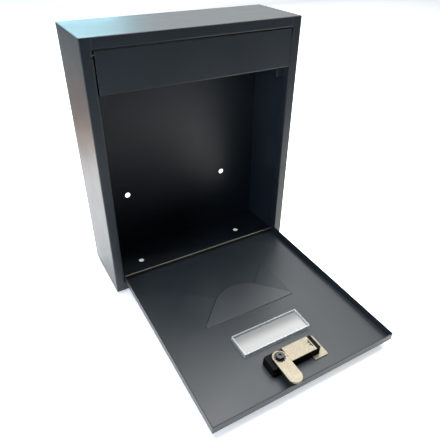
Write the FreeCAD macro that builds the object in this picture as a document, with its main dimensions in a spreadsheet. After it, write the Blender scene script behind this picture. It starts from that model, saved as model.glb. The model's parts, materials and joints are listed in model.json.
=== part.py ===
"""A wall mounted mailbox of powder coated sheet steel, as a parametric FreeCAD document.

The case hangs on a wall by four screws.  Letters go in under a flap at the top of its front, and a
door below the flap drops open on a rod along its lower edge.  A combination cam lock holds the door.

The frame of the part: +X to the right of someone facing the mailbox, +Y towards the wall, +Z up.
The origin is the middle of the four wall screws, on the back face of the case.  The document holds the
mailbox with its door open.  All sizes are millimetres and all angles are degrees.
"""
import FreeCAD, Part
import Sketcher
import math
import os

# Driving dimensions: name, value, what it measures.
DIMENSIONS = (
    ("case_width", 320.0, "outside width of the case"),
    ("case_height", 388.0, "outside height of the case"),
    ("case_depth", 109.0, "wall face to front face"),
    ("gauge", 1.0, "thickness of all the sheet steel"),
    ("fold", 1.4, "outside radius of every fold"),
    ("crease", 0.4, "inside radius of every fold"),
    ("soft_edge", 0.7, "rounding where two panels are welded and ground flush"),
    ("side_strip", 14.5, "width of the front frame at each side"),
    ("top_strip", 14.2, "height of the front frame above the flap"),
    ("bottom_strip", 13.8, "height of the front frame below the door"),
    ("return_depth", 12.0, "how far the front frame turns back inside its openings"),
    ("screw_spread_x", 184.0, "wall screw holes, centre to centre, across"),
    ("screw_spread_z", 194.0, "wall screw holes, centre to centre, up"),
    ("screw_rise", 106.0, "lower wall screw holes above the underside"),
    ("screw_hole", 4.5, "radius of the wall screw holes"),
    ("drain_spread", 193.0, "drain holes, centre to centre"),
    ("drain_setback", 58.0, "drain holes behind the front face"),
    ("drain_hole", 4.5, "radius of the drain holes"),
    ("rod_radius", 1.5, "radius of both hinge rods"),
    ("rod_play", 0.08, "radial clearance of a rod in its holes"),
    ("rod_tail", 3.5, "how far a rod sticks out past the frame's return, inside the strip"),
    ("notch_height", 8.0, "height of the slots that the rods are fed in through"),
    ("notch_depth", 2.4, "depth of those slots from the front face"),
    ("nut_radius", 3.6, "radius of the push nuts on the rod ends"),
    ("nut_length", 0.8, "thickness of a push nut"),
    ("pivot_depth", 7.0, "door rod behind the front face"),
    ("pivot_rise", 20.7, "door rod above the underside"),
    ("door_angle", 91.3, "how far the door drops from closed to its stop"),
    ("door_recess", 0.6, "closed door behind the front face"),
    ("door_gap", 0.7, "gap at each side of the door"),
    ("door_foot", 6.1, "door below its rod"),
    ("door_flap_gap", 1.2, "gap between the closed door and the flap"),
    ("door_flange", 12.7, "depth of the door's turned edges, outside face to lip"),
    ("flap_pivot_depth", 4.0, "flap rod behind the front face"),
    ("flap_pivot_drop", 20.5, "flap rod below the top of the case"),
    ("flap_gap", 1.5, "gap at each side of the flap"),
    ("flap_slide", 0.8, "how far the flap has slid to the right along its rod"),
    ("flap_above", 4.4, "flap above its rod"),
    ("flap_below", 49.5, "flap below its rod"),
    ("flap_cheek", 8.0, "depth of the flap's side flanges"),
    ("lip_gap", 0.3, "gap between the flap's lower lip and the stop tabs"),
    ("stop_gap", 0.6, "gap between the closed door's lip and the stop tabs"),
    ("stop_reach", 27.0, "inner edge of a stop tab from the side of the case"),
    ("stop_below_flap", 16.5, "lower edge of the stop tabs below the flap"),
    ("stop_tall", 22.0, "height of the stop tabs"),
    ("rail_below_flap", 4.5, "lower edge of the strike rail below the flap"),
    ("rail_tall", 15.0, "height of the strike rail"),
    ("rail_shelf", 12.0, "depth of the ledge along the top of the strike rail"),
    ("envelope_width", 152.0, "width of the pressed envelope"),
    ("envelope_drop", 139.8, "top of the pressed envelope below the door's top edge"),
    ("envelope_shoulder", 5.7, "straight edge at each side of the envelope's flap"),
    ("envelope_point", 55.0, "rounding of the point of the envelope's flap"),
    ("envelope_side_reach", 42.0, "how far the envelope's side folds reach in from its sides"),
    ("envelope_press", 0.8, "how far the envelope's flap is pressed in along its top edge"),
    ("envelope_lean", 0.055, "rise of the envelope's flap towards its point, per millimetre"),
    ("envelope_bevel", 0.6, "bevel round the envelope's flap"),
    ("fold_press", 0.15, "how far the envelope's side folds are pressed in, at its sides"),
    ("fold_lean", 0.05, "rise of the envelope's side folds towards its middle, per millimetre"),
    ("bead_round", 1.5, "rounding of the pressed corners"),
    ("window_drop", 90.1, "middle of the name window below the door's top edge"),
    ("window_width", 111.0, "name window holder, across"),
    ("window_tall", 36.0, "name window holder, up"),
    ("window_deep", 6.0, "name window holder, door face to rim"),
    ("window_wall", 1.6, "wall of the name window holder"),
    ("window_frame", 5.0, "overlap of the holder on the door round the cut-out"),
    ("card_gauge", 0.5, "thickness of the name card"),
    ("card_margin", 0.4, "room for the card at each edge"),
    ("lock_drop", 41.1, "middle of the lock below the door's top edge"),
    ("lock_left", -39.0, "left end of the lock's barrel"),
    ("lock_right", 38.3, "right end of the lock's barrel"),
    ("lock_tall", 23.5, "height of the lock's barrel"),
    ("lock_past_lip", 1.8, "how far the lock's barrel reaches in past the door's lip"),
    ("lock_wall", 1.4, "wall of the lock's barrel"),
    ("lock_fit", 0.3, "room for the lock's barrel in its cut-out"),
    ("lock_bezel", 4.5, "how far the lock's bezel overlaps the door"),
    ("lock_front", 3.2, "how far the lock's bezel stands out of the door"),
    ("foot_long", 16.0, "length of the lock's rounded foot"),
    ("foot_margin", 2.0, "how far the lock's rounded foot overlaps the barrel above and below"),
    ("foot_deep", 8.5, "lock's foot behind the face of the door"),
    ("plate_inset", 6.8, "lock's back plate in from the right end of the barrel"),
    ("plate_gauge", 1.2, "thickness of the lock's back plate"),
    ("clip_grip", 12.0, "how far the retaining clip's arms reach along the barrel"),
    ("clip_end", 10.3, "how far the retaining clip reaches past the end of the barrel"),
    ("clip_arm", 6.0, "width of the retaining clip's arms"),
    ("clip_gauge", 1.5, "thickness of the retaining clip"),
    ("clip_corner", 1.5, "cut-off corners of the retaining clip"),
    ("cam_across", -21.6, "lock's spindle from the middle of the door"),
    ("cam_width", 20.8, "width of the cam lever"),
    ("cam_past_edge", 1.6, "how far the locked cam lever reaches past the door's top edge"),
    ("cam_gauge", 2.5, "thickness of the cam lever"),
    ("cam_bevel", 0.4, "bevel round the cam lever"),
    ("cam_lift", 0.4, "gap between the lock's barrel and the cam lever"),
    ("cam_beside", 0.9, "gap between the cam lever and the lock's back plate"),
    ("spindle_radius", 4.0, "radius of the lock's spindle"),
    ("spindle_play", 0.08, "radial clearance of the spindle in the lock"),
    ("spindle_flat", 2.6, "half the width across the flats under the cam lever"),
    ("flat_play", 0.05, "clearance of the cam lever on the spindle's flats"),
    ("washer_radius", 8.4, "radius of the washer on the cam lever"),
    ("washer_gauge", 0.8, "thickness of the washer"),
    ("head_radius", 6.6, "radius of the cam screw's head"),
    ("head_tall", 3.6, "height of the cam screw's head"),
    ("thread_radius", 2.0, "radius of the cam screw's shank"),
    ("thread_long", 8.0, "length of the cam screw's shank"),
    ("knob_radius", 10.0, "radius of the turning knob"),
    ("knob_tall", 9.0, "height of the turning knob"),
    ("knob_gap", 0.4, "gap between the knob and the bezel"),
    ("dial_radius", 8.8, "radius of the number dials"),
    ("dial_width", 6.6, "width of a number dial"),
    ("dial_bar", 1.0, "width of the bars between the dials' slots"),
    ("dial_first", 1.6, "middle of the first number dial from the middle of the door"),
    ("dial_depth", 4.4, "centre of the dials behind the face of the door"),
    ("dial_play", 0.4, "room round a dial in its slot"),
    ("axle_radius", 1.6, "radius of the dials' axle"),
    ("axle_play", 0.08, "radial clearance of a dial on its axle"),
)
DIALS = 4

doc = FreeCAD.newDocument("WallMailbox")


class Size:
    """A length with the sheet expression that gives it, so that sums of sizes stay bound to the sheet."""

    def __init__(self, value, text):
        self.value = value
        self.text = text

    @staticmethod
    def of(other):
        if isinstance(other, Size):
            return other
        return Size(float(other), repr(float(other)))

    def __add__(self, other):
        other = Size.of(other)
        return Size(self.value + other.value, f"({self.text} + {other.text})")

    def __sub__(self, other):
        other = Size.of(other)
        return Size(self.value - other.value, f"({self.text} - {other.text})")

    def __mul__(self, other):
        other = Size.of(other)
        return Size(self.value * other.value, f"({self.text} * {other.text})")

    def __truediv__(self, other):
        other = Size.of(other)
        return Size(self.value / other.value, f"({self.text} / {other.text})")

    def __radd__(self, other):
        return Size.of(other) + self

    def __rsub__(self, other):
        return Size.of(other) - self

    def __rmul__(self, other):
        return Size.of(other) * self

    def __neg__(self):
        return Size.of(0) - self


class Dimensions:
    """The sheet's named sizes, as attributes."""

    def __init__(self, rows):
        sheet = doc.addObject("Spreadsheet::Sheet", "Sizes")
        for number, (name, value, meaning) in enumerate(rows, start=1):
            sheet.set(f"A{number}", name)
            sheet.set(f"B{number}", str(value))
            sheet.setAlias(f"B{number}", name)
            sheet.set(f"C{number}", meaning)
            setattr(self, name, Size(value, f"Sizes.{name}"))
        doc.recompute()


d = Dimensions(DIMENSIONS)
ZERO = Size.of(0)

# Places that many pieces share, in the frame of the part.
HALF_WIDTH = d.case_width / 2
SCREW_CENTRE = d.screw_rise + d.screw_spread_z / 2
FLOOR = -SCREW_CENTRE
ROOF = FLOOR + d.case_height
FRONT = -d.case_depth
OPENING = HALF_WIDTH - d.side_strip
DOOR_ROD = (FRONT + d.pivot_depth, FLOOR + d.pivot_rise)
FLAP_ROD = (FRONT + d.flap_pivot_depth, ROOF - d.flap_pivot_drop)

FLAP_FOOT = FLAP_ROD[1] - d.flap_below
STOP_FACE = FRONT + d.door_recess + d.door_flange + d.stop_gap

# Places on the door, in its own frame: closed, with its rod along X through the origin.
DOOR_TOP = FLAP_FOOT - d.door_flap_gap - DOOR_ROD[1]
LOCK_Z = DOOR_TOP - d.lock_drop
WINDOW_Z = DOOR_TOP - d.window_drop
ENVELOPE_TOP = DOOR_TOP - d.envelope_drop
DOOR_FACE = d.door_recess - d.pivot_depth
DOOR_BACK = DOOR_FACE + d.gauge
HALF_DOOR = OPENING - d.door_gap
BARREL_BACK = DOOR_FACE + d.door_flange + d.lock_past_lip
PLATE_BACK = BARREL_BACK + d.plate_gauge
CAM_NEAR = BARREL_BACK + d.cam_lift
CAM_FAR = CAM_NEAR + d.cam_gauge
DIAL_Y = DOOR_FACE + d.dial_depth
DIAL_PITCH = d.dial_width + d.dial_play * 2 + d.dial_bar

AXES = {"X": "YZ_Plane", "Y": "XZ_Plane", "Z": "XY_Plane"}
# The axes of its own that a sketch square to Y is tipped about, to face up, right or left.
TIP_UP, TIP_RIGHT, TIP_LEFT = (FreeCAD.Vector(*axis) for axis in ((1, 0, 0), (0, -1, 0), (0, 1, 0)))
nodes = []


def bind(thing, prop, size):
    thing.setExpression(prop, Size.of(size).text)


def new_body(name, depth=ZERO, height=ZERO, angle=None):
    """A body whose own origin lies at the given depth and height, turned about X by the angle."""
    body = doc.addObject("PartDesign::Body", name)
    body.Label = name
    if angle is not None:
        body.Placement = FreeCAD.Placement(FreeCAD.Vector(), FreeCAD.Rotation(FreeCAD.Vector(1, 0, 0), 1))
        bind(body, "Placement.Rotation.Angle", angle)
    bind(body, "Placement.Base.y", depth)
    bind(body, "Placement.Base.z", height)
    nodes.append(body)
    return body


def door_body(name):
    return new_body(name, *DOOR_ROD, angle=d.door_angle)


def new_sketch(body, axis, place, lean=None):
    """A sketch square to the axis, at that place along it.

    The lean, if there is one, is (axis of the sketch, slope): the sketch is tipped about that axis.
    """
    plane = next(o for o in body.Origin.OriginFeatures if o.Role == AXES[axis])
    sketch = body.newObject("Sketcher::SketchObject", f"{body.Label}_sketch")
    sketch.AttachmentSupport = [(plane, "")]
    sketch.MapMode = "FlatFace"
    if lean is not None:
        tip, slope = lean
        sketch.AttachmentOffset = FreeCAD.Placement(FreeCAD.Vector(), FreeCAD.Rotation(tip, 1))
        sketch.setExpression("AttachmentOffset.Rotation.Angle", f"atan({slope.text})")
    bind(sketch, "AttachmentOffset.Base.z", -Size.of(place) if axis == "Y" else place)
    return sketch


def pin_point(sketch, geometry, position, x, y):
    """Fix a point of the sketch at a distance from its origin."""
    for kind, size in (("DistanceX", x), ("DistanceY", y)):
        size = Size.of(size)
        index = sketch.addConstraint(Sketcher.Constraint(kind, -1, 1, geometry, position, size.value))
        sketch.setExpression(f"Constraints[{index}]", size.text)


def draw_outline(sketch, corners):
    """A closed outline through the corners, each (x, y) or (x, y, radius of its rounding)."""
    points = [FreeCAD.Vector(Size.of(c[0]).value, Size.of(c[1]).value, 0) for c in corners]
    count = len(points)
    starts, ends, arcs = list(points), list(points), {}
    for i, corner in enumerate(corners):
        if len(corner) < 3:
            continue
        radius = Size.of(corner[2]).value
        back = (points[i - 1] - points[i]).normalize()
        ahead = (points[(i + 1) % count] - points[i]).normalize()
        half = back.getAngle(ahead) / 2
        ends[i] = points[i] + back * (radius / math.tan(half))
        starts[i] = points[i] + ahead * (radius / math.tan(half))
        centre = points[i] + (back + ahead).normalize() * (radius / math.sin(half))
        left_turn = back.cross(ahead).z < 0
        first, last = (ends[i], starts[i]) if left_turn else (starts[i], ends[i])
        angles = [math.atan2(p.y - centre.y, p.x - centre.x) for p in (first, last)]
        if angles[1] < angles[0]:
            angles[1] += 2 * math.pi
        circle = Part.Circle(centre, FreeCAD.Vector(0, 0, 1), radius)
        arcs[i] = (sketch.addGeometry(Part.ArcOfCircle(circle, *angles), False), left_turn)
    lines = []
    for i in range(count):
        lines.append(sketch.addGeometry(Part.LineSegment(starts[i], ends[(i + 1) % count]), False))
    for i, corner in enumerate(corners):
        before, after = lines[i - 1], lines[i]
        if i not in arcs:
            sketch.addConstraint(Sketcher.Constraint("Coincident", before, 2, after, 1))
            pin_point(sketch, after, 1, corner[0], corner[1])
            continue
        arc, left_turn = arcs[i]
        near, far = (1, 2) if left_turn else (2, 1)
        sketch.addConstraint(Sketcher.Constraint("Tangent", before, 2, arc, near))
        sketch.addConstraint(Sketcher.Constraint("Tangent", after, 1, arc, far))
        index = sketch.addConstraint(Sketcher.Constraint("Radius", arc, Size.of(corner[2]).value))
        sketch.setExpression(f"Constraints[{index}]", Size.of(corner[2]).text)
        tip = sketch.addGeometry(Part.Point(points[i]), True)
        pin_point(sketch, tip, 1, corner[0], corner[1])
        sketch.addConstraint(Sketcher.Constraint("PointOnObject", tip, 1, before))
        sketch.addConstraint(Sketcher.Constraint("PointOnObject", tip, 1, after))


def in_order(*places):
    """The places, lowest first."""
    return sorted(places, key=lambda place: place.value)


def rectangle(x, y, radius=None):
    """Corners of a rectangle between two (low, high) pairs, rounded by the radius if there is one."""
    corners = [(x[0], y[0]), (x[1], y[0]), (x[1], y[1]), (x[0], y[1])]
    return corners if radius is None else [(*c, radius) for c in corners]


def draw_circle(sketch, x, y, radius):
    x, y, radius = Size.of(x), Size.of(y), Size.of(radius)
    centre = FreeCAD.Vector(x.value, y.value, 0)
    circle = sketch.addGeometry(Part.Circle(centre, FreeCAD.Vector(0, 0, 1), radius.value), False)
    pin_point(sketch, circle, 3, x, y)
    index = sketch.addConstraint(Sketcher.Constraint("Radius", circle, radius.value))
    sketch.setExpression(f"Constraints[{index}]", radius.text)


def extrude(kind, body, axis, low, high, outlines, circles, lean=None):
    low, high = Size.of(low), Size.of(high)
    adding = kind == "PartDesign::Pad"
    against = (axis == "Y") == adding or lean is not None
    sketch = new_sketch(body, axis, high if against else low, lean)
    for corners in outlines:
        draw_outline(sketch, corners)
    for circle in circles:
        draw_circle(sketch, *circle)
    before = 0.0 if body.Tip is None else body.Shape.Volume
    feature = body.newObject(kind, f"{body.Label}_feature")
    feature.Profile = sketch
    feature.Reversed = lean is not None and not adding
    bind(feature, "Length", high - low)
    body.Tip = feature
    doc.recompute()
    change = body.Shape.Volume - before
    if (change > 0) != adding or abs(change) < 1e-6:
        raise RuntimeError(f"{body.Label}: {feature.Name} changed its volume by {change}")
    return feature


def pad(body, axis, low, high, *outlines, circles=(), lean=None):
    """Add material between two places along the axis."""
    return extrude("PartDesign::Pad", body, axis, low, high, outlines, circles, lean)


def pocket(body, axis, low, high, *outlines, circles=(), lean=None):
    """Cut material away between two places along the axis."""
    return extrude("PartDesign::Pocket", body, axis, low, high, outlines, circles, lean)


def edges_where(body, test):
    return [f"Edge{i}" for i, edge in enumerate(body.Tip.Shape.Edges, start=1) if test(edge)]


def dress(kind, body, prop, size, names):
    if not names:
        raise RuntimeError(f"{body.Label}: no edges to dress")
    base = body.Tip
    feature = body.newObject(kind, f"{body.Label}_dress")
    feature.Base = (base, names)
    bind(feature, prop, size)
    body.Tip = feature
    doc.recompute()
    return feature


def round_edges(body, radius, test):
    return dress("PartDesign::Fillet", body, "Radius", radius, edges_where(body, test))


def bevel_edges(body, size, test):
    return dress("PartDesign::Chamfer", body, "Size", size, edges_where(body, test))


def straight_along(edge, axis):
    """True for a straight edge that runs along X, Y or Z."""
    if not isinstance(edge.Curve, Part.Line):
        return False
    return abs(getattr(edge.Curve.Direction, axis.lower())) > 0.999


def rounds_at(axis, place):
    """A test for circular edges that lie square to the axis at that place along it."""
    place = Size.of(place).value

    def test(edge):
        if not isinstance(edge.Curve, Part.Circle):
            return False
        return abs(getattr(edge.Curve.Center, axis.lower()) - place) < 1e-4

    return test


def side_panel(name, side):
    """One side of the case, with its half of the front frame folded on, and the frame's return."""
    panel = new_body(name)
    inner, strip_end = HALF_WIDTH - d.gauge, OPENING + d.fold * 2
    face, back_of_strip, lip = FRONT, FRONT + d.gauge, FRONT + d.return_depth
    angle = [
        (side * HALF_WIDTH, ZERO),
        (side * HALF_WIDTH, face, d.fold),
        (side * strip_end, face),
        (side * strip_end, back_of_strip),
        (side * inner, back_of_strip, d.crease),
        (side * inner, ZERO),
    ]
    turn = [
        (side * strip_end, face),
        (side * OPENING, face, d.fold),
        (side * OPENING, lip),
        (side * (OPENING + d.gauge), lip),
        (side * (OPENING + d.gauge), back_of_strip, d.crease),
        (side * strip_end, back_of_strip),
    ]
    corner = [
        (side * strip_end, face),
        (side * OPENING, face),
        (side * OPENING, back_of_strip),
        (side * strip_end, back_of_strip),
    ]
    opening_low, opening_high = FLOOR + d.bottom_strip, ROOF - d.top_strip
    pad(panel, "Z", FLOOR, ROOF, angle)
    pad(panel, "Z", opening_low, opening_high, turn)
    pad(panel, "Z", FLOOR, opening_low, corner)
    pad(panel, "Z", opening_high, ROOF, corner)
    for height in (FLOOR, ROOF):
        level = height.value
        edge_x = side * HALF_WIDTH.value
        round_edges(panel, d.soft_edge, lambda e: straight_along(e, "Y")
                    and abs(e.CenterOfMass.z - level) < 1e-4 and abs(e.CenterOfMass.x - edge_x) < 1e-4)
    low, high = in_order(side * (OPENING - 1), side * (OPENING + d.gauge * 2))
    for rod in (DOOR_ROD, FLAP_ROD):
        pocket(panel, "X", low, high, circles=[(*rod, d.rod_radius + d.rod_play)])
        notch = rectangle((low, high), (rod[1] - d.notch_height / 2, rod[1] + d.notch_height / 2))
        pocket(panel, "Y", FRONT - 1, FRONT + d.notch_depth, notch)


def cross_panel(name, level, inward, strip, turned):
    """The roof or the floor of the case, with its strip of the front frame folded on."""
    panel = new_body(name)
    outside, inside = level, level + inward * d.gauge
    strip_edge = level + inward * strip
    profile = [(ZERO, outside), (FRONT, outside, d.fold)]
    if turned:
        profile += [
            (FRONT, strip_edge, d.fold),
            (FRONT + d.return_depth, strip_edge),
            (FRONT + d.return_depth, strip_edge - inward * d.gauge),
            (FRONT + d.gauge, strip_edge - inward * d.gauge, d.crease),
        ]
    else:
        profile += [(FRONT, strip_edge), (FRONT + d.gauge, strip_edge)]
    profile += [(FRONT + d.gauge, inside, d.crease), (ZERO, inside)]
    pad(panel, "X", -OPENING, OPENING, profile)
    low, high = in_order(outside, inside)
    between_sides = HALF_WIDTH - d.gauge
    pad(panel, "Z", low, high, rectangle((-between_sides, between_sides), (FRONT + d.gauge, ZERO)))
    return panel


def bottom_panel():
    panel = cross_panel("bottom_panel", FLOOR, 1, d.bottom_strip, turned=False)
    drains = [(side * d.drain_spread / 2, FRONT + d.drain_setback, d.drain_hole) for side in (-1, 1)]
    pocket(panel, "Z", FLOOR - 1, FLOOR + d.gauge + 1, circles=drains)


def back_panel():
    """The flat back of the case, with the four holes for the wall screws."""
    panel = new_body("back_panel")
    across = HALF_WIDTH - d.gauge
    pad(panel, "Y", -d.gauge, ZERO, rectangle((-across, across), (FLOOR + d.gauge, ROOF - d.gauge)))
    holes = []
    for side in (-1, 1):
        for level in (-1, 1):
            holes.append((side * d.screw_spread_x / 2, level * d.screw_spread_z / 2, d.screw_hole))
    pocket(panel, "Y", -d.gauge - 1, Size.of(1), circles=holes)


def strike_rail():
    """The cross rail between the letter slot and the door, which the lock's cam catches behind."""
    rail = new_body("strike_rail")
    face, low = STOP_FACE, FLAP_FOOT - d.rail_below_flap
    high, shelf = low + d.rail_tall, STOP_FACE + d.rail_shelf
    profile = [
        (face, low),
        (face, high, d.fold),
        (shelf, high),
        (shelf, high - d.gauge),
        (face + d.gauge, high - d.gauge, d.crease),
        (face + d.gauge, low),
    ]
    between_tabs = HALF_WIDTH - d.stop_reach
    pad(rail, "X", -between_tabs, between_tabs, profile)
    across = HALF_WIDTH - d.gauge
    pad(rail, "Z", high - d.gauge, high, rectangle((-across, across), (face + d.fold, shelf)))


def stop_tab(name, side):
    """A small angle on the frame's return, which the closed door and the flap rest against."""
    tab = new_body(name)
    weld = OPENING + d.gauge
    outer, tip = weld + d.gauge, HALF_WIDTH - d.stop_reach
    face = STOP_FACE
    root = FRONT + d.gauge * 3
    profile = [
        (side * weld, root),
        (side * weld, face),
        (side * tip, face),
        (side * tip, face + d.gauge),
        (side * outer, face + d.gauge, d.fold),
        (side * outer, root),
    ]
    low = FLAP_FOOT - d.stop_below_flap
    pad(tab, "Z", low, low + d.stop_tall, profile)


def hinge_rod(name, rod):
    """A plain rod through the returns of the frame, with a push nut behind each of them."""
    bar = new_body(name)
    reach = OPENING + d.gauge + d.rod_tail
    pad(bar, "X", -reach, reach, circles=[(*rod, d.rod_radius)])
    for end in (-1, 1):
        bevel_edges(bar, d.rod_radius / 4, rounds_at("X", end * reach))


def push_nuts(name, rod):
    """Two spring steel caps pushed on to the ends of a rod."""
    nuts = []
    for side in (-1, 1):
        near = side * (OPENING + d.gauge)
        far = side * (OPENING + d.gauge + d.nut_length)
        low, high = in_order(near, far)
        nut = doc.addObject("Part::Cylinder", f"{name}_disc")
        hole = doc.addObject("Part::Cylinder", f"{name}_hole")
        along_x = FreeCAD.Rotation(FreeCAD.Vector(0, 1, 0), 90)
        for disc, radius in ((nut, d.nut_radius), (hole, d.rod_radius)):
            disc.Placement = FreeCAD.Placement(FreeCAD.Vector(), along_x)
            bind(disc, "Radius", radius)
            bind(disc, "Height", high - low)
            bind(disc, "Placement.Base.x", low)
            bind(disc, "Placement.Base.y", rod[0])
            bind(disc, "Placement.Base.z", rod[1])
        ring = doc.addObject("Part::Cut", f"{name}_ring")
        ring.Base = nut
        ring.Tool = hole
        nuts.append(ring)
    pair = doc.addObject("Part::Compound", name)
    pair.Label = name
    pair.Links = nuts
    nodes.append(pair)


def mail_flap():
    """The flap over the letter slot: a plate with a lip below and a cheek at each end for its rod."""
    flap = new_body("mail_flap", *FLAP_ROD)
    half = OPENING - d.flap_gap
    face = d.door_recess - d.flap_pivot_depth
    lip = STOP_FACE - d.lip_gap - FLAP_ROD[0]
    profile = [
        (face, d.flap_above),
        (face, -d.flap_below, d.fold),
        (lip, -d.flap_below),
        (lip, d.gauge - d.flap_below),
        (face + d.gauge, d.gauge - d.flap_below, d.crease),
        (face + d.gauge, d.flap_above),
    ]
    pad(flap, "X", d.flap_slide - half, d.flap_slide + half, profile)
    cheek = [
        (face + d.gauge / 2, d.flap_above),
        (face + d.gauge / 2, d.gauge / 2 - d.flap_below),
        (face + d.flap_cheek, d.gauge / 2 - d.flap_below),
        (face + d.flap_cheek, d.flap_above, d.flap_above),
    ]
    for side in (-1, 1):
        low, high = in_order(d.flap_slide + side * half, d.flap_slide + side * (half - d.gauge))
        pad(flap, "X", low, high, cheek)
        pocket(flap, "X", low, high, circles=[(ZERO, ZERO, d.rod_radius + d.rod_play)])


def door_panel():
    """The drop-down door: a shallow tray, open along its lower edge, with the envelope pressed in it."""
    door = door_body("door_panel")
    lip = DOOR_FACE + d.door_flange
    section = [
        (DOOR_FACE, -d.door_foot),
        (DOOR_FACE, DOOR_TOP, d.fold),
        (lip, DOOR_TOP),
        (lip, DOOR_TOP - d.gauge),
        (DOOR_BACK, DOOR_TOP - d.gauge, d.crease),
        (DOOR_BACK, -d.door_foot),
    ]
    pad(door, "X", -HALF_DOOR, HALF_DOOR, section)
    cheek = rectangle((DOOR_FACE + d.gauge / 2, lip), (-d.door_foot, DOOR_TOP - d.gauge / 2))
    for side in (-1, 1):
        low, high = in_order(side * HALF_DOOR, side * (HALF_DOOR - d.gauge))
        pad(door, "X", low, high, cheek)
    face, edge = DOOR_FACE.value, HALF_DOOR.value
    round_edges(door, d.soft_edge, lambda e: straight_along(e, "Z")
                and abs(e.CenterOfMass.y - face) < 1e-4 and abs(abs(e.CenterOfMass.x) - edge) < 1e-4)
    for side in (-1, 1):
        low, high = in_order(side * HALF_DOOR, side * (HALF_DOOR - d.gauge))
        pocket(door, "X", low, high, circles=[(ZERO, ZERO, d.rod_radius + d.rod_play)])
    press_envelope(door)
    cut_x = d.window_width / 2 - d.window_frame
    cut_z = d.window_tall / 2 - d.window_frame
    window = rectangle((-cut_x, cut_x), (WINDOW_Z - cut_z, WINDOW_Z + cut_z))
    half_lock = d.lock_tall / 2 + d.lock_fit
    lock = rectangle((d.lock_left - d.lock_fit, d.lock_right + d.lock_fit),
                     (LOCK_Z - half_lock, LOCK_Z + half_lock))
    pocket(door, "Y", DOOR_FACE - 1, DOOR_BACK + 1, window, lock)


def envelope_flap(inset):
    """The envelope's flap, taken in by the inset: square shoulders, sides at 45 degrees, rounded point."""
    half = d.envelope_width / 2
    top = ENVELOPE_TOP - inset
    shoulder = ENVELOPE_TOP - d.envelope_shoulder + inset * (math.sqrt(2) - 1)
    point = ENVELOPE_TOP - d.envelope_shoulder - half + inset * math.sqrt(2)
    return [
        (inset - half, top, d.bead_round),
        (inset - half, shoulder, d.bead_round),
        (ZERO, point, d.envelope_point - inset),
        (half - inset, shoulder, d.bead_round),
        (half - inset, top, d.bead_round),
    ]


def envelope_side(side, inset):
    """One of the envelope's two side folds, which meets the flap where the flap's point begins."""
    half = d.envelope_width / 2
    shoulder = ENVELOPE_TOP - d.envelope_shoulder
    reach = d.envelope_side_reach
    low = shoulder - reach * 2
    slope = inset * math.sqrt(2) + inset
    return [
        (side * (half - inset), shoulder - slope, d.bead_round),
        (side * (half - reach + inset * math.sqrt(2)), shoulder - reach, d.bead_round),
        (side * (half - inset), low + slope, d.bead_round),
    ]


def press_envelope(door):
    """Press a plain envelope into the door.

    Its flap rises towards the hinge, and its side folds towards the middle.  The metal keeps its
    thickness.
    """
    half = d.envelope_width / 2
    tall = d.envelope_shoulder + d.envelope_side_reach * 2
    flap_level = DOOR_BACK + d.envelope_press + ENVELOPE_TOP * d.envelope_lean
    fold_level = DOOR_BACK + d.fold_press + half * d.fold_lean
    deep = tall * d.envelope_lean + d.gauge
    facets = (
        (flap_level, (TIP_UP, d.envelope_lean), envelope_flap),
        (fold_level, (TIP_LEFT, d.fold_lean), lambda inset: envelope_side(-1, inset)),
        (fold_level, (TIP_RIGHT, d.fold_lean), lambda inset: envelope_side(1, inset)),
    )
    for level, lean, outline in facets:
        pad(door, "Y", level - deep, level, outline(ZERO), lean=lean)
        if outline is envelope_flap:
            slope = d.envelope_lean.value
            bevel_edges(door, d.envelope_bevel, lambda e: all(
                abs(v.Point.y + v.Point.z * slope - level.value) < 1e-4 for v in e.Vertexes))
    pocket(door, "Y", DOOR_FACE - deep, DOOR_FACE,
           rectangle((-half, half), (ENVELOPE_TOP - tall, ENVELOPE_TOP)))
    for level, lean, outline in facets:
        pocket(door, "Y", level - d.gauge - deep, level - d.gauge, outline(d.gauge), lean=lean)


def name_window():
    """The clear holder for the name card, glued to the back of the door over its cut-out."""
    window = door_body("name_window")
    half_x, half_z = d.window_width / 2, d.window_tall / 2
    low, high = WINDOW_Z - half_z, WINDOW_Z + half_z
    pad(window, "Y", DOOR_BACK, DOOR_BACK + d.window_deep,
        rectangle((-half_x, half_x), (low, high), d.window_wall))
    wall = d.window_wall
    pocket(window, "Y", DOOR_BACK + wall, DOOR_BACK + d.window_deep,
           rectangle((wall - half_x, half_x - wall), (low + wall, high - wall)))


def name_card():
    """The blank card in the holder."""
    card = door_body("name_card")
    inset = d.window_wall + d.card_margin
    half_x, half_z = d.window_width / 2 - inset, d.window_tall / 2 - inset
    base = DOOR_BACK + d.window_wall
    pad(card, "Y", base, base + d.card_gauge,
        rectangle((-half_x, half_x), (WINDOW_Z - half_z, WINDOW_Z + half_z)))


def dial_centre(number):
    return d.dial_first + DIAL_PITCH * number


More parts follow.
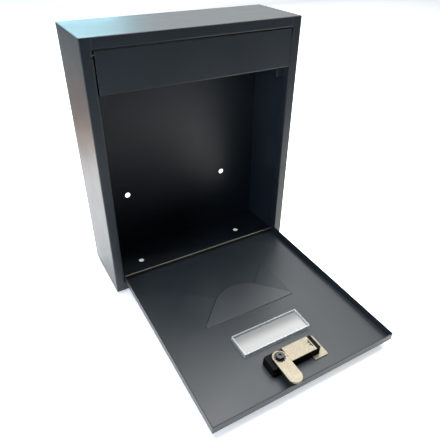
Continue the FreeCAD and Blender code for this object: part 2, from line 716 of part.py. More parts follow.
def lock_housing():
    """The lock's casting: a bezel outside the door, and a barrel through it that holds the works."""
    lock = door_body("lock_housing")
    half = d.lock_tall / 2
    low, high = LOCK_Z - half, LOCK_Z + half
    bezel = rectangle((d.lock_left - d.lock_bezel, d.lock_right + d.lock_bezel),
                      (low - d.lock_bezel, high + d.lock_bezel), d.lock_bezel * 2)
    pad(lock, "Y", DOOR_FACE - d.lock_front, DOOR_FACE, bezel)
    front = (DOOR_FACE - d.lock_front).value
    round_edges(lock, d.lock_front / 3, lambda e: abs(e.CenterOfMass.y - front) < 1e-4)
    barrel = rectangle((d.lock_left, d.lock_right), (low, high), d.lock_wall)
    pad(lock, "Y", DOOR_FACE, BARREL_BACK, barrel)
    foot_half = half + d.foot_margin
    foot = rectangle((d.lock_left, d.lock_left + d.foot_long),
                     (LOCK_Z - foot_half, LOCK_Z + foot_half), d.lock_wall * 2)
    pad(lock, "Y", DOOR_BACK, DOOR_FACE + d.foot_deep, foot)
    across = (dial_centre(0) - DIAL_PITCH / 2, dial_centre(DIALS - 1) + DIAL_PITCH / 2)
    room = d.dial_radius + d.dial_play
    chamber = rectangle(across, (LOCK_Z - room, LOCK_Z + room))
    pocket(lock, "Y", DOOR_FACE, BARREL_BACK, chamber)
    slots = []
    for number in range(DIALS):
        slot = d.dial_width / 2 + d.dial_play
        centre = dial_centre(number)
        slots.append(rectangle((centre - slot, centre + slot), (LOCK_Z - room, LOCK_Z + room)))
    pocket(lock, "Y", DOOR_FACE - d.lock_front, DOOR_FACE, *slots)
    bore = (d.cam_across, LOCK_Z, d.spindle_radius + d.spindle_play)
    pocket(lock, "Y", DOOR_FACE - d.lock_front, BARREL_BACK, circles=[bore])
    axle = (DIAL_Y, LOCK_Z, d.axle_radius)
    end = d.lock_wall + d.axle_radius
    pocket(lock, "X", across[0] - end, across[1] + end, circles=[axle])


def lock_back_plate():
    """The zinc plated plate that closes the works, with the slots that set the number."""
    plate = door_body("lock_back_plate")
    half = d.lock_tall / 2
    low, high = LOCK_Z - half, LOCK_Z + half
    left = d.cam_across + d.cam_width / 2 + d.cam_beside
    right = d.lock_right - d.plate_inset
    pad(plate, "Y", BARREL_BACK, PLATE_BACK, rectangle((left, right), (low, high), d.lock_wall / 2))
    slot, long = d.lock_wall, d.lock_wall * 3
    middle = LOCK_Z
    comb = [
        (right - slot * 2, middle - slot * 4),
        (right - slot, middle - slot * 4),
        (right - slot, middle + slot * 4),
        (right - slot * 2, middle + slot * 4),
        (right - slot * 2, middle + slot * 2),
        (right - slot - long, middle + slot * 2),
        (right - slot - long, middle + slot),
        (right - slot * 2, middle + slot),
        (right - slot * 2, middle - slot),
        (right - slot - long, middle - slot),
        (right - slot - long, middle - slot * 2),
        (right - slot * 2, middle - slot * 2),
    ]
    pocket(plate, "Y", BARREL_BACK, PLATE_BACK, comb)


def lock_retainer():
    """The sprung clip that slides over the barrel behind the door and pulls the bezel tight."""
    clip = door_body("lock_retainer")
    inner = d.lock_tall / 2 + d.lock_fit
    low, high = LOCK_Z - inner - d.clip_arm, LOCK_Z + inner + d.clip_arm
    left, right = d.lock_right - d.clip_grip, d.lock_right + d.clip_end
    corner = d.clip_corner
    outline = [
        (left, low),
        (right - corner, low),
        (right, low + corner),
        (right, high - corner),
        (right - corner, high),
        (left, high),
        (left, LOCK_Z + inner),
        (d.lock_right + d.lock_fit, LOCK_Z + inner),
        (d.lock_right + d.lock_fit, LOCK_Z - inner),
        (left, LOCK_Z - inner),
    ]
    pad(clip, "Y", DOOR_BACK, DOOR_BACK + d.clip_gauge, outline)


def dial_axle():
    """The pin that the number dials turn on."""
    axle = door_body("dial_axle")
    first, last = dial_centre(0) - DIAL_PITCH / 2, dial_centre(DIALS - 1) + DIAL_PITCH / 2
    pad(axle, "X", first - d.lock_wall, last + d.lock_wall, circles=[(DIAL_Y, LOCK_Z, d.axle_radius)])


def number_dial(number):
    """One number dial: a drum with ten finger notches in its rim."""
    dial = door_body(f"number_dial_{number + 1}")
    centre = dial_centre(number)
    low, high = centre - d.dial_width / 2, centre + d.dial_width / 2
    pad(dial, "X", low, high, circles=[(DIAL_Y, LOCK_Z, d.dial_radius)])
    for place in (low, high):
        bevel_edges(dial, d.dial_play, rounds_at("X", place))
    grip = d.dial_radius / 9
    notches = []
    for step in range(10):
        angle = math.radians(36 * step + 18)
        notches.append((DIAL_Y + d.dial_radius * math.cos(angle),
                        LOCK_Z + d.dial_radius * math.sin(angle), grip))
    pocket(dial, "X", low, high, circles=notches)
    pocket(dial, "X", low, high, circles=[(DIAL_Y, LOCK_Z, d.axle_radius + d.axle_play)])


def lock_spindle():
    """The shaft that joins the knob to the cam lever."""
    spindle = door_body("lock_spindle")
    front = DOOR_FACE - d.lock_front - d.knob_gap
    centre = (d.cam_across, LOCK_Z)
    pad(spindle, "Y", front, CAM_FAR, circles=[(*centre, d.spindle_radius)])
    for side in (-1, 1):
        across = in_order(d.cam_across + side * d.spindle_flat,
                          d.cam_across + side * d.spindle_radius * 2)
        reach = d.spindle_radius * 2
        pocket(spindle, "Y", CAM_NEAR, CAM_FAR, rectangle(across, (LOCK_Z - reach, LOCK_Z + reach)))
    pocket(spindle, "Y", CAM_FAR - d.thread_long, CAM_FAR, circles=[(*centre, d.thread_radius)])


def lock_knob():
    """The knob outside the door, with a finger bar across it."""
    knob = door_body("lock_knob")
    near = DOOR_FACE - d.lock_front - d.knob_gap
    far = near - d.knob_tall
    collar = near - d.knob_tall / 3
    centre = (d.cam_across, LOCK_Z)
    pad(knob, "Y", collar, near, circles=[(*centre, d.knob_radius)])
    grip = d.knob_radius * 0.9
    half_bar = d.knob_radius / 4
    bar = rectangle((d.cam_across - half_bar, d.cam_across + half_bar), (LOCK_Z - grip, LOCK_Z + grip),
                    half_bar * 0.8)
    pad(knob, "Y", far, collar, bar)
    edge = far.value
    round_edges(knob, half_bar / 3, lambda e: abs(e.CenterOfMass.y - edge) < 1e-4)


def cam_lever():
    """The flat lever with round ends that swings behind the strike rail."""
    cam = door_body("cam_lever")
    half = d.cam_width / 2
    tip = DOOR_TOP + d.cam_past_edge
    bulge = half * 0.98
    outline = [
        (d.cam_across - half, LOCK_Z - half, bulge),
        (d.cam_across + half, LOCK_Z - half, bulge),
        (d.cam_across + half, tip, bulge),
        (d.cam_across - half, tip, bulge),
    ]
    pad(cam, "Y", CAM_NEAR, CAM_FAR, outline)
    for place in (CAM_NEAR, CAM_FAR):
        level = place.value
        bevel_edges(cam, d.cam_bevel, lambda e: abs(e.CenterOfMass.y - level) < 1e-4)
    wide = d.spindle_flat + d.flat_play
    long = d.spindle_radius + d.flat_play
    across = (d.cam_across - wide, d.cam_across + wide)
    pocket(cam, "Y", CAM_NEAR, CAM_FAR, rectangle(across, (LOCK_Z - long, LOCK_Z + long), wide / 2))


def cam_washer():
    washer = door_body("cam_washer")
    centre = (d.cam_across, LOCK_Z)
    pad(washer, "Y", CAM_FAR, CAM_FAR + d.washer_gauge,
        circles=[(*centre, d.washer_radius), (*centre, d.thread_radius + d.spindle_play)])


def cam_screw():
    """The hexagon headed screw that clamps the cam lever on the spindle."""
    screw = door_body("cam_screw")
    centre = (d.cam_across, LOCK_Z)
    seat = CAM_FAR + d.washer_gauge
    pad(screw, "Y", seat - d.washer_gauge - d.thread_long, seat, circles=[(*centre, d.thread_radius)])
    corners = []
    for step in range(6):
        angle = math.radians(60 * step)
        corners.append((d.cam_across + d.head_radius * math.cos(angle),
                        LOCK_Z + d.head_radius * math.sin(angle), d.head_radius / 5))
    pad(screw, "Y", seat, seat + d.head_tall, corners)
    recess = d.head_radius / 3
    pocket(screw, "Y", seat + d.head_tall / 2, seat + d.head_tall, circles=[(*centre, recess)])
    top = (seat + d.head_tall).value
    bevel_edges(screw, d.head_radius / 12,
                lambda e: abs(e.CenterOfMass.y - top) < 1e-4 and not isinstance(e.Curve, Part.Circle))


def check_and_write():
    """Stop on any failed object, then write each piece to its own file."""
    doc.recompute()
    failed = [o.Name for o in doc.Objects if "Invalid" in o.State or "Error" in o.State]
    if failed:
        raise RuntimeError(f"failed objects: {failed}")
    for node in nodes:
        if node.Shape.isNull() or not node.Shape.isValid() or not node.Shape.Solids:
            raise RuntimeError(f"{node.Label} has no valid solid")
    os.makedirs("parts", exist_ok=True)
    for node in nodes:
        node.Shape.exportStep(f"parts/{node.Label}.step")
        box = node.Shape.BoundBox
        print(f"{node.Label:18s} {len(node.Shape.Solids)} solid {box.XLength:7.2f} {box.YLength:7.2f} "
              f"{box.ZLength:7.2f} mm  {node.Shape.Volume:10.1f} mm3")


back_panel()
side_panel("left_side_panel", -1)
side_panel("right_side_panel", 1)
cross_panel("top_panel", ROOF, -1, d.top_strip, turned=True)
bottom_panel()
strike_rail()
stop_tab("left_stop_tab", -1)
stop_tab("right_stop_tab", 1)
hinge_rod("door_hinge_rod", DOOR_ROD)
hinge_rod("flap_hinge_rod", FLAP_ROD)
push_nuts("door_rod_push_nuts", DOOR_ROD)
push_nuts("flap_rod_push_nuts", FLAP_ROD)
mail_flap()
door_panel()
name_window()
name_card()
lock_housing()
lock_back_plate()
lock_retainer()
dial_axle()
for dial_number in range(DIALS):
    number_dial(dial_number)
lock_spindle()
lock_knob()
cam_lever()
cam_washer()
cam_screw()
check_and_write()
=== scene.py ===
# %% [markdown]
# # A wall mounted mailbox with its door open
#
# The mailbox is folded from thin sheet steel and powder coated in satin black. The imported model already
# holds every part at its real size and place, so this lesson adds what the eye reads as real: finishes,
# figures on the number dials, moulded edges, and soft light that a satin surface can mirror.

import json
import math

import bmesh
import bpy
from mathutils import Matrix, Vector


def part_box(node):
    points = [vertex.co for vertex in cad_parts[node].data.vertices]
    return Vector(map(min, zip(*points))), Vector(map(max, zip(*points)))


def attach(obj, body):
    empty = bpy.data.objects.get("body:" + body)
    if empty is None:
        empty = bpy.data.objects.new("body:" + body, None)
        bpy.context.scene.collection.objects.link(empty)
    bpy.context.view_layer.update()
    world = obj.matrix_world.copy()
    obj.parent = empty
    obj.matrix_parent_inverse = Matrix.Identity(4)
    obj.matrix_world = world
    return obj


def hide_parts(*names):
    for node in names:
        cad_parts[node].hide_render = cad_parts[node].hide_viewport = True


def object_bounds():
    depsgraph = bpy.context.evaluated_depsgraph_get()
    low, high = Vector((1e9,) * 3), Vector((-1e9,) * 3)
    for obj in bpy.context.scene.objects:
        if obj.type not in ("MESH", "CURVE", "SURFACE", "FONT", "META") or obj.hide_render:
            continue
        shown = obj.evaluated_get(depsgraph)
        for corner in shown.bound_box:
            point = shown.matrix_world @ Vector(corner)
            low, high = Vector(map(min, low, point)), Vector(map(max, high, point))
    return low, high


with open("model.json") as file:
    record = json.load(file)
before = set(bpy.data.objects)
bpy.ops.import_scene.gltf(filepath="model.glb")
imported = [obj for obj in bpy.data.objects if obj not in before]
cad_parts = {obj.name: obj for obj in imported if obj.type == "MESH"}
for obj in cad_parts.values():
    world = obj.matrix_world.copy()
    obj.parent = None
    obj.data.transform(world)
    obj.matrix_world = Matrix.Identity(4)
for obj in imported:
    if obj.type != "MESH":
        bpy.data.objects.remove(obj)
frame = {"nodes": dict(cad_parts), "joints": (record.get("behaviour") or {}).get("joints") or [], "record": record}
cad_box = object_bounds()
nodes = frame["nodes"]
joints = {joint["name"]: joint for joint in frame["joints"]}
MM = 0.001
print("nodes:", len(nodes), "joints:", len(joints))

# %% [markdown]
# The door hangs open on its rod, so its parts are easiest to place as if it were shut: across, in from
# the rod, and up from the rod. One matrix turns such a place into the open door's. The lock's washer and
# the dials are measured from the imported nodes in the same way.

# %% The door's own frame
door_rod = Vector(joints["door_hinge"]["pos_m"])
door_angle = math.radians(joints["door_hinge"]["range_deg"][1])
ON_DOOR = Matrix.Translation(door_rod) @ Matrix.Rotation(door_angle, 4, "X")


def door_box(node):
    """Lowest and highest corner of a node in the shut door's frame, in metres."""
    undo = ON_DOOR.inverted()
    points = [undo @ vertex.co for vertex in nodes[node].data.vertices]
    low = Vector([min(p[i] for p in points) for i in range(3)])
    high = Vector([max(p[i] for p in points) for i in range(3)])
    return low, high


door_low, door_high = door_box("door_panel")
print("door frame:", [round(v / MM, 1) for v in (*door_low, *door_high)])

# %% [markdown]
# Colours are written as the hex values a paint chart would give. Blender shades in linear light, so one
# function converts them. One more function adds a shader node with its settings and its links.


# %% Colour and node helpers
def linear(hex_colour):
    """An sRGB hex value as linear red, green, blue and full alpha."""
    channels = []
    for start in (1, 3, 5):
        value = int(hex_colour[start:start + 2], 16) / 255
        channels.append(value / 12.92 if value <= 0.04045 else ((value + 0.055) / 1.055) ** 2.4)
    return (*channels, 1.0)


def add_node(tree, kind, settings=None, **inputs):
    """Add a shader node; inputs are values, or (node, output name) pairs to link."""
    node = tree.nodes.new(kind)
    for name, value in (settings or {}).items():
        setattr(node, name, value)
    for name, value in inputs.items():
        socket = node.inputs[name.replace("_", " ")]
        if isinstance(value, tuple) and len(value) == 2 and isinstance(value[0], bpy.types.Node):
            tree.links.new(value[0].outputs[value[1]], socket)
        else:
            socket.default_value = value
    return node


def new_material(name):
    """A material with a bare surface shader; returns it, its tree and the shader."""
    material = bpy.data.materials.new(name)
    material.use_nodes = True
    tree = material.node_tree
    shader = tree.nodes["Principled BSDF"]
    return material, tree, shader


def grain_scale(size_mm):
    """Noise scale that gives features of this size when coordinates are in metres."""
    return 1.0 / (size_mm * MM)


# %% [markdown]
# Powder coat is a dry polyester powder that is baked until it flows. It never levels fully, so light
# that glances off it breaks up in a faint orange peel about a millimetre across, with a finer sparkle
# of grit on top. Two noises in object space make the relief, and a third, much wider, changes the
# gloss a little from place to place, as handling and oven heat do. While it flows, the coat also
# rounds every pressed edge and fills every crease by about a millimetre, so edges catch a fine light
# line. A bevel node turns the shading normal there, which is how the pressed envelope reads.


# %% Powder coated steel
def make_powder_coat():
    material, tree, shader = new_material("powder_coat_satin_black")
    place = add_node(tree, "ShaderNodeTexCoord")
    peel = add_node(tree, "ShaderNodeTexNoise", Vector=(place, "Object"),
                    Scale=grain_scale(1.1), Detail=2.0, Roughness=0.5)
    grit = add_node(tree, "ShaderNodeTexNoise", Vector=(place, "Object"),
                    Scale=grain_scale(0.35), Detail=1.0, Roughness=0.6)
    cloud = add_node(tree, "ShaderNodeTexNoise", Vector=(place, "Object"),
                     Scale=grain_scale(70), Detail=3.0, Roughness=0.55)
    tone = add_node(tree, "ShaderNodeMix", {"data_type": "RGBA"})
    tree.links.new(cloud.outputs["Fac"], tone.inputs["Factor"])
    tone.inputs["A"].default_value = linear("#181e23")
    tone.inputs["B"].default_value = linear("#20272c")
    tree.links.new(tone.outputs["Result"], shader.inputs["Base Color"])
    gloss = add_node(tree, "ShaderNodeMapRange", Value=(cloud, "Fac"),
                     From_Min=0.3, From_Max=0.7, To_Min=0.39, To_Max=0.46)
    tree.links.new(gloss.outputs["Result"], shader.inputs["Roughness"])
    flow = add_node(tree, "ShaderNodeBevel", {"samples": 6}, Radius=1.3 * MM)
    coarse = add_node(tree, "ShaderNodeBump", Height=(peel, "Fac"), Normal=(flow, "Normal"),
                      Strength=0.10, Distance=0.0002)
    fine = add_node(tree, "ShaderNodeBump", Height=(grit, "Fac"), Normal=(coarse, "Normal"),
                    Strength=0.12, Distance=0.0001)
    tree.links.new(fine.outputs["Normal"], shader.inputs["Normal"])
    shader.inputs["IOR"].default_value = 1.5
    return material


POWDER_COAT = make_powder_coat()
print(POWDER_COAT.name, "shader nodes:", len(POWDER_COAT.node_tree.nodes))

# %% [markdown]
# The lock's plate, clip, cam and washer and the hinge rods are steel, stamped and then zinc plated. The
# plating takes a warm, slightly yellow passivation that is never even, so the colour drifts between two
# tones over two or three millimetres, and the rolled sheet under it leaves a very fine grain.


# %% Zinc plated steel
def make_zinc_plate():
    material, tree, shader = new_material("zinc_plated_steel")
    place = add_node(tree, "ShaderNodeTexCoord")
    stain = add_node(tree, "ShaderNodeTexNoise", Vector=(place, "Object"),
                     Scale=grain_scale(2.6), Detail=4.0, Roughness=0.7)
    tone = add_node(tree, "ShaderNodeMix", {"data_type": "RGBA"})
    tree.links.new(stain.outputs["Fac"], tone.inputs["Factor"])
    tone.inputs["A"].default_value = linear("#5c574b")
    tone.inputs["B"].default_value = linear("#9a9281")
    tree.links.new(tone.outputs["Result"], shader.inputs["Base Color"])
    speck = add_node(tree, "ShaderNodeTexNoise", Vector=(place, "Object"),
                     Scale=grain_scale(0.5), Detail=3.0, Roughness=0.7)
    gloss = add_node(tree, "ShaderNodeMapRange", Value=(speck, "Fac"),
                     From_Min=0.3, From_Max=0.7, To_Min=0.38, To_Max=0.52)
    tree.links.new(gloss.outputs["Result"], shader.inputs["Roughness"])
    relief = add_node(tree, "ShaderNodeBump", Height=(speck, "Fac"), Strength=0.3, Distance=0.0001)
    tree.links.new(relief.outputs["Normal"], shader.inputs["Normal"])
    shader.inputs["Metallic"].default_value = 1.0
    return material


ZINC_PLATE = make_zinc_plate()
print(ZINC_PLATE.name, "shader nodes:", len(ZINC_PLATE.node_tree.nodes))

# %% [markdown]
# The screw is steel turned black in a hot oxide bath. The layer is thin, so the metal under it still
# shows as a dark, slightly oily shine.


# %% Black oxide steel
def make_black_oxide():
    material, tree, shader = new_material("black_oxide_steel")
    place = add_node(tree, "ShaderNodeTexCoord")
    film = add_node(tree, "ShaderNodeTexNoise", Vector=(place, "Object"),
                    Scale=grain_scale(1.5), Detail=3.0, Roughness=0.6)
    tone = add_node(tree, "ShaderNodeMix", {"data_type": "RGBA"})
    tree.links.new(film.outputs["Fac"], tone.inputs["Factor"])
    tone.inputs["A"].default_value = linear("#080808")
    tone.inputs["B"].default_value = linear("#131313")
    tree.links.new(tone.outputs["Result"], shader.inputs["Base Color"])
    shader.inputs["Metallic"].default_value = 0.1
    shader.inputs["Roughness"].default_value = 0.34
    return material


BLACK_OXIDE = make_black_oxide()
print(BLACK_OXIDE.name, "shader nodes:", len(BLACK_OXIDE.node_tree.nodes))

# %% [markdown]
# The lock's body and its knob are zinc castings with a black lacquer. The mould leaves a softer, finer
# texture than the powder coat on the sheet, and the lacquer is a little glossier.


# %% Lacquered casting
def make_casting():
    material, tree, shader = new_material("black_lacquered_casting")
    place = add_node(tree, "ShaderNodeTexCoord")
    skin = add_node(tree, "ShaderNodeTexNoise", Vector=(place, "Object"),
                    Scale=grain_scale(0.6), Detail=2.0, Roughness=0.5)
    tone = add_node(tree, "ShaderNodeMix", {"data_type": "RGBA"})
    tree.links.new(skin.outputs["Fac"], tone.inputs["Factor"])
    tone.inputs["A"].default_value = linear("#040404")
    tone.inputs["B"].default_value = linear("#090909")
    tree.links.new(tone.outputs["Result"], shader.inputs["Base Color"])
    relief = add_node(tree, "ShaderNodeBump", Height=(skin, "Fac"), Strength=0.15, Distance=0.0001)
    tree.links.new(relief.outputs["Normal"], shader.inputs["Normal"])
    shader.inputs["Roughness"].default_value = 0.5
    shader.inputs["IOR"].default_value = 1.16
    return material


CASTING = make_casting()
print(CASTING.name, "shader nodes:", len(CASTING.node_tree.nodes))

# %% [markdown]
# The number dials are moulded in black nylon, which has a waxy, even shine. Their figures are filled
# with white paint, which lies in the moulding and stays dull.


# %% Nylon and figure paint
def make_nylon():
    material, tree, shader = new_material("moulded_black_nylon")
    place = add_node(tree, "ShaderNodeTexCoord")
    skin = add_node(tree, "ShaderNodeTexNoise", Vector=(place, "Object"),
                    Scale=grain_scale(0.8), Detail=2.0, Roughness=0.5)
    gloss = add_node(tree, "ShaderNodeMapRange", Value=(skin, "Fac"),
                     From_Min=0.3, From_Max=0.7, To_Min=0.42, To_Max=0.52)
    tree.links.new(gloss.outputs["Result"], shader.inputs["Roughness"])
    shader.inputs["Base Color"].default_value = linear("#17181a")
    return material


def make_figure_paint():
    material, tree, shader = new_material("white_figure_paint")
    place = add_node(tree, "ShaderNodeTexCoord")
    chalk = add_node(tree, "ShaderNodeTexNoise", Vector=(place, "Object"),
                     Scale=grain_scale(0.4), Detail=2.0, Roughness=0.5)
    tone = add_node(tree, "ShaderNodeMix", {"data_type": "RGBA"})
    tree.links.new(chalk.outputs["Fac"], tone.inputs["Factor"])
    tone.inputs["A"].default_value = linear("#dcdcd6")
    tone.inputs["B"].default_value = linear("#f4f4f0")
    tree.links.new(tone.outputs["Result"], shader.inputs["Base Color"])
    shader.inputs["Roughness"].default_value = 0.6
    return material


NYLON = make_nylon()
FIGURE_PAINT = make_figure_paint()
print(NYLON.name, "and", FIGURE_PAINT.name)

# %% [markdown]
# The name card sits in a holder moulded in a clear plastic, thin enough that it hardly bends what is
# seen through it. Its skin is drawn white and partly opaque: a painted highlight that stands in for the
# light its rim catches, and that is what draws its rim against the black door. So it is a thin, white,
# partly clear skin, not a block of glass. The card is uncoated stock with a faint fibre, and a painted
# shade greys it along the edge nearest the hinge.


# %% Holder plastic and card
def make_acrylic():
    material, tree, shader = new_material("clear_moulded_acrylic")
    place = add_node(tree, "ShaderNodeTexCoord")
    flow = add_node(tree, "ShaderNodeTexNoise", Vector=(place, "Object"),
                    Scale=grain_scale(22), Detail=1.0, Roughness=0.4)
    # Painted highlight: the white, partly opaque skin stands in for the light the rim catches.
    painted_highlight_skin = add_node(tree, "ShaderNodeMapRange", Value=(flow, "Fac"),
                    From_Min=0.3, From_Max=0.7, To_Min=0.26, To_Max=0.32)
    tree.links.new(painted_highlight_skin.outputs["Result"], shader.inputs["Alpha"])
    relief = add_node(tree, "ShaderNodeBump", Height=(flow, "Fac"), Strength=0.06, Distance=0.0003)
    tree.links.new(relief.outputs["Normal"], shader.inputs["Normal"])
    shader.inputs["Base Color"].default_value = linear("#f4f7f6")
    shader.inputs["Roughness"].default_value = 0.12
    shader.inputs["IOR"].default_value = 1.49
    return material


def make_card():
    material, tree, shader = new_material("uncoated_card")
    place = add_node(tree, "ShaderNodeTexCoord")
    fibre = add_node(tree, "ShaderNodeTexNoise", Vector=(place, "Object"),
                     Scale=grain_scale(0.7), Detail=4.0, Roughness=0.7)
    tone = add_node(tree, "ShaderNodeMix", {"data_type": "RGBA"})
    tree.links.new(fibre.outputs["Fac"], tone.inputs["Factor"])
    tone.inputs["A"].default_value = linear("#a9a9a5")
    tone.inputs["B"].default_value = linear("#b5b5b1")
    low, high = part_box("name_card")
    split = add_node(tree, "ShaderNodeSeparateXYZ", Vector=(place, "Object"))
    # Painted shade: the card is mixed towards dark grey along the edge nearest the hinge.
    painted_shade = add_node(tree, "ShaderNodeMapRange", {"interpolation_type": "SMOOTHSTEP"},
                      Value=(split, "Y"), From_Min=high.y - 2 * MM, From_Max=low.y + 10 * MM,
                      To_Min=0.62, To_Max=0.0)
    shaded_card = add_node(tree, "ShaderNodeMix", {"data_type": "RGBA"})
    tree.links.new(painted_shade.outputs["Result"], shaded_card.inputs["Factor"])
    tree.links.new(tone.outputs["Result"], shaded_card.inputs["A"])
    shaded_card.inputs["B"].default_value = linear("#4e4f50")
    tree.links.new(shaded_card.outputs["Result"], shader.inputs["Base Color"])
    relief = add_node(tree, "ShaderNodeBump", Height=(fibre, "Fac"), Strength=0.1, Distance=0.00005)
    tree.links.new(relief.outputs["Normal"], shader.inputs["Normal"])
    shader.inputs["Roughness"].default_value = 0.85
    return material


ACRYLIC = make_acrylic()
CARD = make_card()
print(ACRYLIC.name, "and", CARD.name)

# %% [markdown]
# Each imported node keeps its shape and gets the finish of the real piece. The record names a slot for
# every node, so the finishes are given out by slot.

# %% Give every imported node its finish
FINISHES = {
    "powder_coated_steel": POWDER_COAT,
    "zinc_plated_steel": ZINC_PLATE,
    "black_oxide_steel": BLACK_OXIDE,
    "black_zinc_casting": CASTING,
    "dial_nylon": NYLON,
    "clear_acrylic": ACRYLIC,
    "card_paper": CARD,
}
for subpart in frame["record"]["subparts"]:
    mesh = nodes[subpart["node"]].data
    mesh.materials.clear()
    mesh.materials.append(FINISHES[subpart["material_slot"]])
print("finishes:", len(FINISHES))

# %% [markdown]
# Each dial carries the figures 0 to 9 on the lands between its finger notches, pad printed on the
# curve. A figure is drawn flat as text with a little thickness, made into a mesh, and then each of its
# vertices is wrapped on the drum: its height on the page becomes an angle round the axle. The dials are
# turned by hand, so the figures ride with them.

# %% Figures on the number dials
FONT_SIZE = 4.2 * MM
FIGURE_THICK = 0.04 * MM
FIGURES = 10
STEP = 2 * math.pi / FIGURES


def flat_figure(text):
    """The mesh of one figure, centred on its own origin and facing up."""
    curve = bpy.data.curves.new("figure_" + text, "FONT")
    curve.body = text
    curve.size = FONT_SIZE
    curve.align_x, curve.align_y = "CENTER", "CENTER"
    curve.extrude = FIGURE_THICK
    curve.resolution_u = 3
    carrier = bpy.data.objects.new("figure_" + text, curve)
    bpy.context.scene.collection.objects.link(carrier)
    mesh = bpy.data.meshes.new_from_object(carrier)
    bpy.data.objects.remove(carrier)
    return mesh


def wrap_figures(number):
    """All ten figures of one dial as one piece."""
    low, high = door_box(f"number_dial_{number}")
    centre = (low + high) / 2
    radius = (high.y - low.y) / 2
    figures = bmesh.new()
    for value in range(FIGURES):
        middle = STEP * value
        flat = flat_figure(str(value))
        first = len(figures.verts)
        figures.from_mesh(flat)
        figures.verts.ensure_lookup_table()
        for vertex in figures.verts[first:]:
            angle = middle + vertex.co.y / radius
            out = radius + vertex.co.z + FIGURE_THICK
            shut = Vector((centre.x + vertex.co.x,
                           centre.y - out * math.cos(angle), centre.z + out * math.sin(angle)))
            vertex.co = ON_DOOR @ shut
        bpy.data.meshes.remove(flat)
    bmesh.ops.recalc_face_normals(figures, faces=figures.faces)
    mesh = bpy.data.meshes.new(f"dial_figures_{number}")
    figures.to_mesh(mesh)
    figures.free()
    mesh.materials.append(FIGURE_PAINT)
    piece = bpy.data.objects.new(f"dial_figures_{number}", mesh)
    bpy.context.scene.collection.objects.link(piece)
    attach(piece, f"dial_{number}")
    return len(mesh.polygons)


print("figure faces:", [wrap_figures(number) for number in (1, 2, 3, 4)])

# %% [markdown]
# The washer under the cam screw is a toothed lock washer: a ring whose rim is cut into teeth that bite
# the lever. It takes the place of the plain ring. The rim is a circle with every other pair of points
# drawn in, the hole is a second circle, and the band between them is bridged and given its thickness.

# %% Toothed lock washer
TEETH = 14
POINTS_PER_TOOTH = 4
TOOTH_DEEP = 1.3 * MM
BORE_RADIUS = 2.1 * MM


def toothed_washer():
    low, high = door_box("cam_washer")
    centre = (low + high) / 2
    outer = (high.x - low.x) / 2
    washer = bmesh.new()
    points = TEETH * POINTS_PER_TOOTH
    rim = bmesh.ops.create_circle(washer, segments=points, radius=outer)["verts"]
    for index, vertex in enumerate(rim):
        if index % POINTS_PER_TOOTH < POINTS_PER_TOOTH // 2:
            vertex.co *= (outer - TOOTH_DEEP) / outer
    bmesh.ops.create_circle(washer, segments=points, radius=BORE_RADIUS)
    bmesh.ops.bridge_loops(washer, edges=washer.edges[:])
    thick = high.y - low.y
    grown = bmesh.ops.extrude_face_region(washer, geom=washer.faces[:])
    raised = [item for item in grown["geom"] if isinstance(item, bmesh.types.BMVert)]
    bmesh.ops.translate(washer, verts=raised, vec=(0, 0, thick))
    bmesh.ops.recalc_face_normals(washer, faces=washer.faces)
    flat_to_door = ON_DOOR @ Matrix.Translation((centre.x, low.y, centre.z)) @ Matrix.Rotation(
        math.radians(-90), 4, "X")
    bmesh.ops.transform(washer, matrix=flat_to_door, verts=washer.verts)
    mesh = bpy.data.meshes.new("toothed_washer")
    washer.to_mesh(mesh)
    washer.free()
    mesh.materials.append(BLACK_OXIDE)
    piece = bpy.data.objects.new("toothed_washer", mesh)
    bpy.context.scene.collection.objects.link(piece)
    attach(piece, "cam")
    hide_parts("cam_washer")
    print("washer:", round(outer / MM, 2), "mm radius,", points, "points round its rim")


toothed_washer()

# %% [markdown]
# The floor is a plain pale sweep of lit acrylic, which glows a little, so that no grey edge shows behind
# the mailbox. It stops short in front, behind the camera, so the front faces mirror a darker room.


# %% Floor
FLOOR_Z = cad_box[0].z - 0.5 * MM


def add_sheet(name, corners, material):
    """One flat sheet through its corners, in metres, as a piece of the studio."""
    sheet = bmesh.new()
    sheet.faces.new([sheet.verts.new(corner) for corner in corners])
    mesh = bpy.data.meshes.new(name)
    sheet.to_mesh(mesh)
    sheet.free()
    mesh.materials.append(material)
    piece = bpy.data.objects.new(name, mesh)
    bpy.context.scene.collection.objects.link(piece)


def make_floor():
    material, tree, shader = new_material("lit_acrylic_floor")
    place = add_node(tree, "ShaderNodeTexCoord")
    mottle = add_node(tree, "ShaderNodeTexNoise", Vector=(place, "Object"),
                      Scale=grain_scale(400), Detail=2.0, Roughness=0.5)
    tone = add_node(tree, "ShaderNodeMix", {"data_type": "RGBA"})
    tree.links.new(mottle.outputs["Fac"], tone.inputs["Factor"])
    tone.inputs["A"].default_value = linear("#fafafa")
    tone.inputs["B"].default_value = linear("#ffffff")
    tree.links.new(tone.outputs["Result"], shader.inputs["Base Color"])
    shader.inputs["Roughness"].default_value = 0.9
    shader.inputs["Emission Color"].default_value = linear("#ffffff")
    shader.inputs["Emission Strength"].default_value = 0.48
    left, right, near, far = -6.0, 9.0, -0.58, 9.0
    add_sheet("studio_floor", [(left, near, FLOOR_Z), (right, near, FLOOR_Z),
                               (right, far, FLOOR_Z), (left, far, FLOOR_Z)], material)


make_floor()
print("floor level:", round(FLOOR_Z / MM, 1), "mm")

# %% [markdown]
# A satin black object is drawn by what it mirrors. A broad soft light hangs over the open door, a small
# one at the right gives the lock its shadow, and a weak cool one at the left reaches into the case.
# Cards stand out of view: a cool window and a neutral wall behind, which the roof mirrors at a low
# angle; a grey card, a brown board, a brown mat and a white board on the left, which the left side
# mirrors; a white board at the right, which the right edge of the front mirrors; and a black flag in
# front, which keeps the front faces dark. The world fills in the rest.


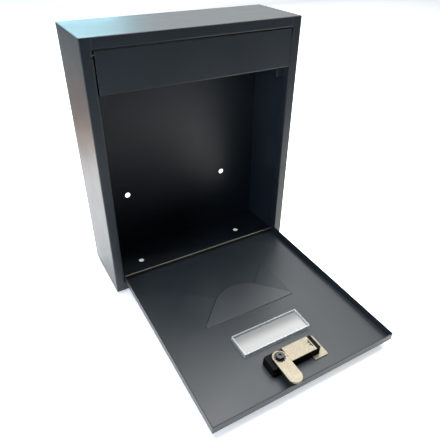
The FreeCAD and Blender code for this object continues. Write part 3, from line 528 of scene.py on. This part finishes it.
# %% Light
def add_panel(name, place, target, width, height, power, colour="#ffffff"):
    """A soft rectangular light at a place, facing the target."""
    light = bpy.data.lights.new(name, "AREA")
    light.shape = "RECTANGLE"
    light.size, light.size_y = width, height
    light.energy = power
    light.color = linear(colour)[:3]
    panel = bpy.data.objects.new(name, light)
    panel.location = place
    aim = Vector(target) - Vector(place)
    panel.rotation_euler = aim.to_track_quat("-Z", "Y").to_euler()
    bpy.context.scene.collection.objects.link(panel)


def glowing_card(name, colour, strength):
    """The finish of a card that gives off an even light."""
    material, tree, shader = new_material(name)
    shader.inputs["Base Color"].default_value = linear("#101010")
    shader.inputs["Emission Color"].default_value = linear(colour)
    shader.inputs["Emission Strength"].default_value = strength
    return material


def add_upright_card(name, left, right, depth, low, high, colour, strength):
    """A card that stands square to the wall's depth."""
    corners = [(left, depth, low), (right, depth, low), (right, depth, high), (left, depth, high)]
    add_sheet(name, corners, glowing_card(name, colour, strength))


DOOR_MIDDLE = ON_DOOR @ Vector((0, door_high.y, door_high.z / 2))
add_panel("overhead_softbox", (0.12, 0.42, 1.50), DOOR_MIDDLE, 2.0, 1.9, 86)
add_panel("key_light", (1.25, -0.38, 0.95), DOOR_MIDDLE, 0.16, 0.16, 9)
add_panel("left_fill", (-1.2, -0.55, 0.25), (0.10, -0.05, -0.10), 0.5, 0.5, 10, "#cfe4ff")
add_upright_card("cool_window", -0.4, 0.66, 2.2, 0.25, 1.1, "#aeeeff", 7.0)
add_upright_card("neutral_wall", 0.76, 2.9, 2.2, 0.25, 1.1, "#fbfffb", 1.15)
add_upright_card("grey_card", -1.4, -0.27, 0.62, FLOOR_Z + 0.17, 0.3, "#f4ffff", 0.2)
add_upright_card("brown_board", -1.4, -0.27, 0.62, FLOOR_Z, FLOOR_Z + 0.17, "#c07f3c", 0.6)


add_upright_card("black_flag", -1.6, 2.6, -1.25, FLOOR_Z, 1.1, "#000000", 0.0)


def add_floor_card(name, left, right, near, far, material):
    """A card that lies on the floor."""
    level = FLOOR_Z + 1 * MM
    add_sheet(name, [(left, near, level), (right, near, level), (right, far, level), (left, far, level)],
              material)


add_floor_card("white_board_right", 0.165, 0.48, -0.34, -0.08,
               glowing_card("white_board_right", "#ffffff", 2.9))
add_floor_card("white_board_left", -0.80, -0.21, -0.20, 0.42,
               glowing_card("white_board_left", "#ffffff", 3.4))
add_floor_card("brown_mat", -0.85, -0.29, 0.42, 0.62, glowing_card("brown_mat", "#e0984f", 2.2))

world = bpy.data.worlds.new("soft_room")
world.use_nodes = True
world.node_tree.nodes["Background"].inputs["Color"].default_value = linear("#e2f1ff")
world.node_tree.nodes["Background"].inputs["Strength"].default_value = 0.28
bpy.context.scene.world = world
bpy.context.scene.view_settings.view_transform = "Standard"

# %% [markdown]
# The camera stands to the left of the mailbox and looks down on it, so that the inside of the case and
# the back of the door both show.

# %% Camera
camera_data = bpy.data.cameras.new("camera")
camera_data.lens = 36.86
camera_data.sensor_width = 36.0
camera = bpy.data.objects.new("camera", camera_data)
camera.location = (-0.2860, -0.6543, 0.3011)
camera.rotation_euler = [math.radians(a) for a in (55.996, -0.545, -29.625)]
bpy.context.scene.collection.objects.link(camera)
bpy.context.scene.camera = camera
print("camera lens:", camera_data.lens, "mm")
